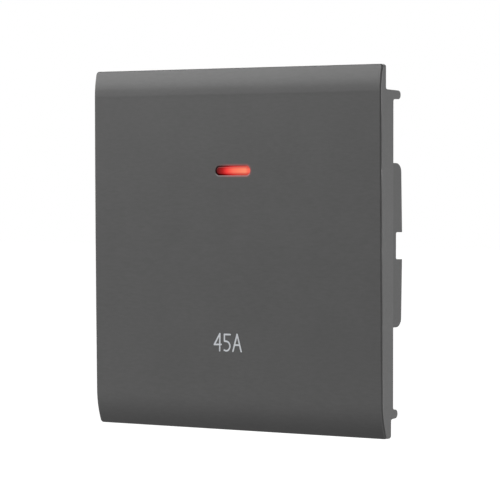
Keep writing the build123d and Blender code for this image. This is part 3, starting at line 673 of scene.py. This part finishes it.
# Centre lines of the figures, and where each starts, in heights of a figure
FIGURE_STROKES = {
    "4": [
        [(0.40, 0.0), (0.42, 1.01)],
        [(0.42, 1.01), (0.0, 0.355)],
        [(0.0, 0.355), (0.52, 0.372)],
    ],
    "5": [
        [(0.455, 0.975), (0.02, 0.975)],
        [(0.02, 0.975), (0.02, 0.58)],
        [(0.02, 0.58)] + arc_points((0.13, 0.29), (0.30, 0.285), 95, -90, 12) + [(0.0, 0.045)],
    ],
    "A": [
        [(0.0, 0.0), (0.325, 1.0)],
        [(0.325, 1.0), (0.615, 0.0)],
        [(0.11, 0.37), (0.51, 0.37)],
    ],
}
FIGURE_STARTS = {"4": 0.0, "5": 0.74, "A": 1.39}
STROKE_CAP_STEPS = 6
# Crossing strokes lie on each other, a hair apart
STROKE_LAYERS = 3
LAYER_STEP = 0.003 * MM
SEARCH_FROM = 10 * MM
INK_ROUGHNESS = 0.5
INK_GRAIN = 0.15 * MM
INK_GRAIN_DEPTH = 0.002 * MM


def stroke_outline(line, width):
    """Outline of a round-ended stroke along a centre line."""
    half = width / 2
    points = [Vector(point) for point in line]
    runs = [(b - a).normalized() for a, b in zip(points, points[1:])]
    outline = []
    for pass_points, pass_runs in ((points, runs), (points[::-1], [-run for run in runs[::-1]])):
        for index, point in enumerate(pass_points[:-1]):
            before = pass_runs[max(index - 1, 0)]
            along = (before + pass_runs[index]).normalized()
            side = Vector((along.y, -along.x))
            outline.append(point + side * half)
        end, last = pass_points[-1], pass_runs[-1]
        side = Vector((last.y, -last.x))
        for step in range(STROKE_CAP_STEPS + 1):
            turn = pi * step / STROKE_CAP_STEPS
            outline.append(end + half * (cos(turn) * side + sin(turn) * last))
    return outline


def lay_stroke(bm, outline, on_surface, height, depth):
    """Thin stroke whose front stands off a surface and whose rim sinks into it."""
    front = [bm.verts.new(on_surface(point) - Vector((0, height, 0))) for point in outline]
    back = [bm.verts.new(on_surface(point) + Vector((0, depth, 0))) for point in outline]
    bm.faces.new(front)
    for index in range(len(outline)):
        after = (index + 1) % len(outline)
        bm.faces.new((front[index], back[index], back[after], front[after]))


class SWITCH_OT_rating_mark(bpy.types.Operator):
    """Print the plain rating figures on the key"""

    bl_idname = "switch.rating_mark"
    bl_label = "Rating mark"

    def execute(self, context):
        settings = context.scene.switch_mark
        key = frame["nodes"]["key_cover"]
        surface = BVHTree.FromObject(key, context.evaluated_depsgraph_get())

        def on_key(point):
            """A point of the mark laid on the key's front."""
            start = Vector((point.x, key_front_y - SEARCH_FROM, point.y))
            hit = surface.ray_cast(start, Vector((0, 1, 0)))[0]
            if hit is None:
                raise RuntimeError("the rating mark lies off the key")
            return hit

        bm = bmesh.new()
        layer = 0
        for figure, start in FIGURE_STARTS.items():
            left = settings.left + start * settings.height
            for line in FIGURE_STROKES[figure]:
                placed = [
                    (left + x * settings.height, settings.base + z * settings.height)
                    for x, z in line
                ]
                height = settings.ink_thickness + (layer % STROKE_LAYERS) * LAYER_STEP
                outline = stroke_outline(placed, settings.stroke)
                lay_stroke(bm, outline, on_key, height, settings.ink_thickness)
                layer += 1
        ink = moulded_plastic(
            "pale grey ink", settings.colour, INK_ROUGHNESS, INK_GRAIN, INK_GRAIN_DEPTH
        )
        add_mesh("rating_mark", bm, ink, "rocker")
        return {"FINISHED"}


# Lit window

# Light along the window, from its dark left end to the lamp at the right
WINDOW_STOPS = [
    (0.05, (0.09, 0.003, 0.004)),
    (0.20, (0.40, 0.007, 0.007)),
    (0.33, (0.88, 0.045, 0.043)),
    (0.53, (1.0, 0.17, 0.105)),
    (0.88, (1.0, 0.27, 0.15)),
    (0.97, (0.96, 0.15, 0.10)),
]
# The light pipe is darker towards its upper and lower edges
BRIGHT_CORE = 0.3
EDGE_STOPS = [(0.0, (1.0, 1.0, 1.0)), (1.0, (0.62, 0.32, 0.40))]
# A painted highlight makes the bevel of its edge pale at the top and at the left end
HIGHLIGHT_FACING = (-0.5, 0.0, 0.87)
HIGHLIGHT_SPAN = (0.3, 0.6)
LENS_ROUGHNESS = 0.25
LENS_SPECULAR = 0.06


class SWITCH_OT_window(bpy.types.Operator):
    """Light the window with the lamp behind it"""

    bl_idname = "switch.window"
    bl_label = "Lit window"

    def execute(self, context):
        settings = context.scene.switch_window
        material, shader, place = new_material("lit red lens")
        nodes, links = material.node_tree.nodes, material.node_tree.links
        x, _, z = coordinates(material, place)
        ends = (lens_centre.x - window_half_length, lens_centre.x + window_half_length)
        glow = ramp(material, mapped(material, x, *ends), WINDOW_STOPS)
        off_axis = maths(material, "ABSOLUTE", maths(material, "SUBTRACT", z, lens_centre.z))
        core = BRIGHT_CORE * window_half_height
        to_edge = between(material, off_axis, core, window_half_height)
        lit = vector_maths(material, "MULTIPLY", glow, ramp(material, to_edge, EDGE_STOPS))
        # Painted highlight on the lens bevel where it faces up and to the left
        normal = nodes["Texture Coordinate"].outputs["Normal"]
        facing = vector_maths(material, "DOT_PRODUCT", normal, HIGHLIGHT_FACING, result="Value")
        edge = between(material, facing, *HIGHLIGHT_SPAN, 0.0, settings.edge_painted_highlight)
        links.new(vector_maths(material, "ADD", lit, edge), shader.inputs["Emission Color"])
        shader.inputs["Emission Strength"].default_value = settings.glow
        shader.inputs["Base Color"].default_value = (*settings.edge_colour, 1.0)
        shader.inputs["Roughness"].default_value = LENS_ROUGHNESS
        shader.inputs["Specular IOR Level"].default_value = LENS_SPECULAR
        finish_node("indicator_lens", material)
        return {"FINISHED"}


# Springs

SIDES = ("left", "right")
SPRING_STEEL = ("bright spring wire", (0.5, 0.5, 0.5), 0.25, 0.2 * MM, 0.002 * MM)
SPRING_CAD_WIRE = 0.3 * MM
CLOSED_TURNS = 1.0
# Pitch of the closed end turns, in wire radii: a little over two, so that they don't meet
CLOSED_PITCH = 2.1
STEPS_PER_TURN = 24
WIRE_SIDES = 10


def coil_points(turns, radius, length, closed_pitch):
    """Centre line of a compression spring along Z, its end coils wound close."""
    open_turns = turns - 2 * CLOSED_TURNS
    open_length = length - 2 * CLOSED_TURNS * closed_pitch
    points = []
    for step in range(int(turns * STEPS_PER_TURN) + 1):
        turn = step / STEPS_PER_TURN
        opened = min(max(turn - CLOSED_TURNS, 0.0), open_turns)
        rise = (turn - opened) * closed_pitch + opened / open_turns * open_length
        angle = 2 * pi * turn
        points.append(Vector((radius * cos(angle), radius * sin(angle), rise)))
    return points


def sweep_wire(bm, points, radius):
    """Round wire along a line of points that coil about Z."""
    rings = []
    for index, point in enumerate(points):
        before, after = points[max(index - 1, 0)], points[min(index + 1, len(points) - 1)]
        along = (after - before).normalized()
        outward = Vector((point.x, point.y, 0)).normalized()
        across = along.cross(outward).normalized()
        ring = []
        for side in range(WIRE_SIDES):
            angle = 2 * pi * side / WIRE_SIDES
            ring.append(
                bm.verts.new(point + radius * cos(angle) * outward + radius * sin(angle) * across)
            )
        rings.append(ring)
    for ring, following in zip(rings, rings[1:]):
        for side in range(WIRE_SIDES):
            other = (side + 1) % WIRE_SIDES
            bm.faces.new((ring[side], ring[other], following[other], following[side]))
    bm.faces.new(rings[0])
    bm.faces.new(rings[-1])


class SWITCH_OT_springs(bpy.types.Operator):
    """Wind the plunger springs from round wire with closed ends"""

    bl_idname = "switch.springs"
    bl_label = "Plunger springs"

    def execute(self, context):
        settings = context.scene.switch_springs
        steel = worked_metal(*SPRING_STEEL)
        joints = {joint["name"]: joint for joint in frame["record"]["behaviour"]["joints"]}
        wire = settings.wire_radius
        for side in SIDES:
            joint = joints[f"plunger_slide_{side}"]
            axis = Vector(joint["axis"]).normalized()
            low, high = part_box(f"plunger_spring_{side}")
            coil_radius = (high.x - low.x) / 2 - SPRING_CAD_WIRE
            reach = (high.y - low.y) / axis.y
            length = reach - 2 * (wire + settings.clearance)
            bm = bmesh.new()
            points = coil_points(settings.turns, coil_radius, length, CLOSED_PITCH * wire)
            sweep_wire(bm, points, wire)
            upright = axis.to_track_quat("Z", "Y").to_matrix().to_4x4()
            start = (low + high) / 2 - axis * length / 2
            bmesh.ops.transform(bm, matrix=Matrix.Translation(start) @ upright, verts=bm.verts)
            # the wire is shaded smoothly and its two end faces stay flat
            for face in bm.faces:
                face.smooth = len(face.verts) == 4
            spring = add_mesh(f"round_wire_spring_{side}", bm, steel, "rocker")
            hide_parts(f"plunger_spring_{side}")
            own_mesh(spring)
        return {"FINISHED"}


# Frame, housing and working parts

# Name, colour, roughness, width and depth of the grain in millimetres, and the nodes that have
# this finish; * stands for left and right
PLASTICS = (
    ("black frame plastic", (0.035, 0.035, 0.036), 0.5, 0.4, 0.006, ["mounting_frame"]),
    ("black carrier nylon", (0.03, 0.03, 0.031), 0.42, 0.4, 0.004, ["rocker_carrier"]),
    ("pale housing plastic", (0.62, 0.61, 0.57), 0.45, 0.4, 0.006, ["base_housing"]),
    ("pale cover plastic", (0.58, 0.57, 0.54), 0.45, 0.4, 0.006, ["inner_cover"]),
    ("natural nylon", (0.72, 0.70, 0.64), 0.35, 0.4, 0.003, ["plunger_*"]),
    ("green board", (0.03, 0.12, 0.05), 0.35, 0.6, 0.003, ["lamp_board"]),
    ("resistor lacquer", (0.45, 0.33, 0.2), 0.3, 0.3, 0.003, ["resistor"]),
    ("lead sleeve", (0.6, 0.6, 0.58), 0.45, 0.3, 0.003, ["lamp_lead_*"]),
    ("red lamp epoxy", (0.5, 0.05, 0.04), 0.15, 1.0, 0.001, ["lamp"]),
)
# The same for metals, with the width and depth of the drawn lines
METALS = (
    ("zinc plated steel", (0.62, 0.62, 0.6), 0.32, 0.25, 0.004, ["case_screws", "terminal_screws"]),
    (
        "terminal brass",
        (0.72, 0.55, 0.25),
        0.3,
        0.3,
        0.004,
        ["terminal_block_top_*", "terminal_block_bottom_*"],
    ),
    (
        "pressed brass strip",
        (0.75, 0.58, 0.28),
        0.34,
        0.2,
        0.003,
        ["fixed_contact_*", "pivot_terminal_*"],
    ),
    ("pressed copper strip", (0.75, 0.38, 0.22), 0.34, 0.2, 0.003, ["moving_contact_*"]),
    ("silver contact", (0.8, 0.79, 0.76), 0.28, 0.2, 0.002, ["moving_tip_*", "fixed_tip_*"]),
)


class SWITCH_OT_mechanism(bpy.types.Operator):
    """Finish the frame, the housing and the working parts"""

    bl_idname = "switch.mechanism"
    bl_label = "Frame and mechanism"

    def execute(self, context):
        for make, finishes in ((moulded_plastic, PLASTICS), (worked_metal, METALS)):
            for name, colour, roughness, width, depth, patterns in finishes:
                material = make(name, colour, roughness, width * MM, depth * MM)
                for pattern in patterns:
                    for node in sorted({pattern.replace("*", side) for side in SIDES}):
                        finish_node(node, material)
        return {"FINISHED"}


# Studio

# Name, azimuth and elevation in degrees, distance and size in metres
LIGHTS = (
    ("key_light", -43, 31, 0.8, (0.45, 0.6)),
    ("side_light", 120, 0, 0.8, (0.36, 0.24)),
    ("rear_light", 205, 38, 1.1, (0.8, 0.6)),
)
WHITE = (1.0, 1.0, 1.0, 1.0)
SENSOR_WIDTH = 36.0
FLOOR_HALF_SIZE = 6.0
FLOOR_ROUGHNESS = 0.9
FLOOR_CLOUD = 0.4
FLOOR_STOPS = [(0.0, (0.50, 0.50, 0.50)), (1.0, (0.54, 0.54, 0.54))]
# The floor's own light, from under the switch to where it fades into the background
FLOOR_FADE = (0.15, 0.45)
FLOOR_LIGHT = (0.68, 1.0)


def outward(azimuth, elevation):
    """Direction from the key's front, angles in radians; azimuth turns to the right."""
    return Vector(
        (
            sin(azimuth) * cos(elevation),
            -cos(azimuth) * cos(elevation),
            sin(elevation),
        )
    )


def aimed_light(name, place, target, size, power):
    """Rectangular area light that faces a point."""
    data = bpy.data.lights.new(name, "AREA")
    data.shape = "RECTANGLE"
    data.size, data.size_y = size
    data.energy = power
    light = bpy.data.objects.new(name, data)
    bpy.context.scene.collection.objects.link(light)
    light.location = place
    light.rotation_mode = "QUATERNION"
    light.rotation_quaternion = (target - place).to_track_quat("-Z", "Y")


def seen_directly(owner):
    """1 for rays that show the surroundings: from the camera, off gloss or through glass."""
    paths = owner.node_tree.nodes.new("ShaderNodeLightPath")
    seen = paths.outputs["Is Camera Ray"]
    for other in ("Is Glossy Ray", "Is Transmission Ray"):
        seen = maths(owner, "MAXIMUM", seen, paths.outputs[other])
    return seen


def white_surroundings(scene, fill):
    """World that shows white and lights the switch with a weak fill."""
    world = bpy.data.worlds.new("white surroundings")
    scene.world = world
    world.use_nodes = True
    nodes, links = world.node_tree.nodes, world.node_tree.links
    nodes.clear()
    strength = mapped(world, seen_directly(world), 0.0, 1.0, fill, 1.0)
    sky = nodes.new("ShaderNodeBackground")
    sky.inputs["Color"].default_value = WHITE
    links.new(strength, sky.inputs["Strength"])
    links.new(sky.outputs["Background"], nodes.new("ShaderNodeOutputWorld").inputs["Surface"])


def pale_floor():
    """Floor material that shows white, and still takes the switch's shadow near it."""
    material, shader, place = new_material("pale floor")
    links = material.node_tree.links
    pale = ramp(material, noise(material, place, FLOOR_CLOUD), FLOOR_STOPS)
    links.new(pale, shader.inputs["Base Color"])
    shader.inputs["Roughness"].default_value = FLOOR_ROUGHNESS
    shader.inputs["Specular IOR Level"].default_value = 0.0
    away = vector_maths(material, "LENGTH", place, result="Value")
    lift = mapped(material, away, *FLOOR_FADE, *FLOOR_LIGHT)
    light = product(material, lift, seen_directly(material))
    links.new(light, shader.inputs["Emission Strength"])
    shader.inputs["Emission Color"].default_value = WHITE
    return material


class SWITCH_OT_studio(bpy.types.Operator):
    """Set up the floor, the white surroundings, the lights and the camera"""

    bl_idname = "switch.studio"
    bl_label = "Studio"

    def execute(self, context):
        settings = context.scene.switch_studio
        scene = context.scene
        scene.view_settings.view_transform = "Standard"
        white_surroundings(scene, settings.fill)

        front = Vector((0, key_front_y, 0))
        for name, azimuth, elevation, distance, size in LIGHTS:
            place = front + outward(radians(azimuth), radians(elevation)) * distance
            aimed_light(name, place, front, size, getattr(settings, name))

        floor_mesh = bpy.data.meshes.new("floor")
        bm = bmesh.new()
        bmesh.ops.create_grid(bm, x_segments=1, y_segments=1, size=FLOOR_HALF_SIZE)
        bm.to_mesh(floor_mesh)
        bm.free()
        floor = bpy.data.objects.new("floor", floor_mesh)
        scene.collection.objects.link(floor)
        floor.location.z = key_low.z - settings.clearance
        floor_mesh.materials.append(pale_floor())

        data = bpy.data.cameras.new("camera")
        data.lens = settings.lens
        data.sensor_width = SENSOR_WIDTH
        data.shift_x = settings.shift_x
        data.shift_y = settings.shift_y
        camera = bpy.data.objects.new("camera", data)
        scene.collection.objects.link(camera)
        back = outward(settings.azimuth, settings.elevation)
        camera.location = front + back * settings.distance
        camera.rotation_mode = "QUATERNION"
        camera.rotation_quaternion = (-back).to_track_quat("-Z", "Y")
        scene.camera = camera
        return {"FINISHED"}


# Panel and registration


class SWITCH_PT_panel(bpy.types.Panel):
    """Steps that dress the switch"""

    bl_label = "Air conditioner switch"
    bl_idname = "SWITCH_PT_panel"
    bl_space_type = "VIEW_3D"
    bl_region_type = "UI"
    bl_category = "Switch"

    def draw(self, context):
        layout = self.layout
        for group in SETTINGS:
            settings = getattr(context.scene, group)
            for name in settings.__annotations__:
                layout.prop(settings, name)
        for operator in OPERATORS:
            layout.operator(operator.bl_idname)


SETTINGS = {
    "switch_key": KeySettings,
    "switch_mark": MarkSettings,
    "switch_window": WindowSettings,
    "switch_springs": SpringSettings,
    "switch_studio": StudioSettings,
}
OPERATORS = (
    SWITCH_OT_studio,
    SWITCH_OT_key_finish,
    SWITCH_OT_rating_mark,
    SWITCH_OT_window,
    SWITCH_OT_springs,
    SWITCH_OT_mechanism,
)


def register():
    """Register the classes and hang their settings on the scene."""
    for group, settings in SETTINGS.items():
        bpy.utils.register_class(settings)
        setattr(bpy.types.Scene, group, PointerProperty(type=settings))
    for item in (*OPERATORS, SWITCH_PT_panel):
        bpy.utils.register_class(item)


def unregister():
    """Take the classes and settings away again."""
    for item in (SWITCH_PT_panel, *reversed(OPERATORS)):
        bpy.utils.unregister_class(item)
    for group, settings in SETTINGS.items():
        delattr(bpy.types.Scene, group)
        bpy.utils.unregister_class(settings)


def main():
    """Dress the switch."""
    register()
    for operator in OPERATORS:
        call = operator.bl_idname.split(".")[1]
        getattr(bpy.ops.switch, call)()


if __name__ == "__main__":
    main()
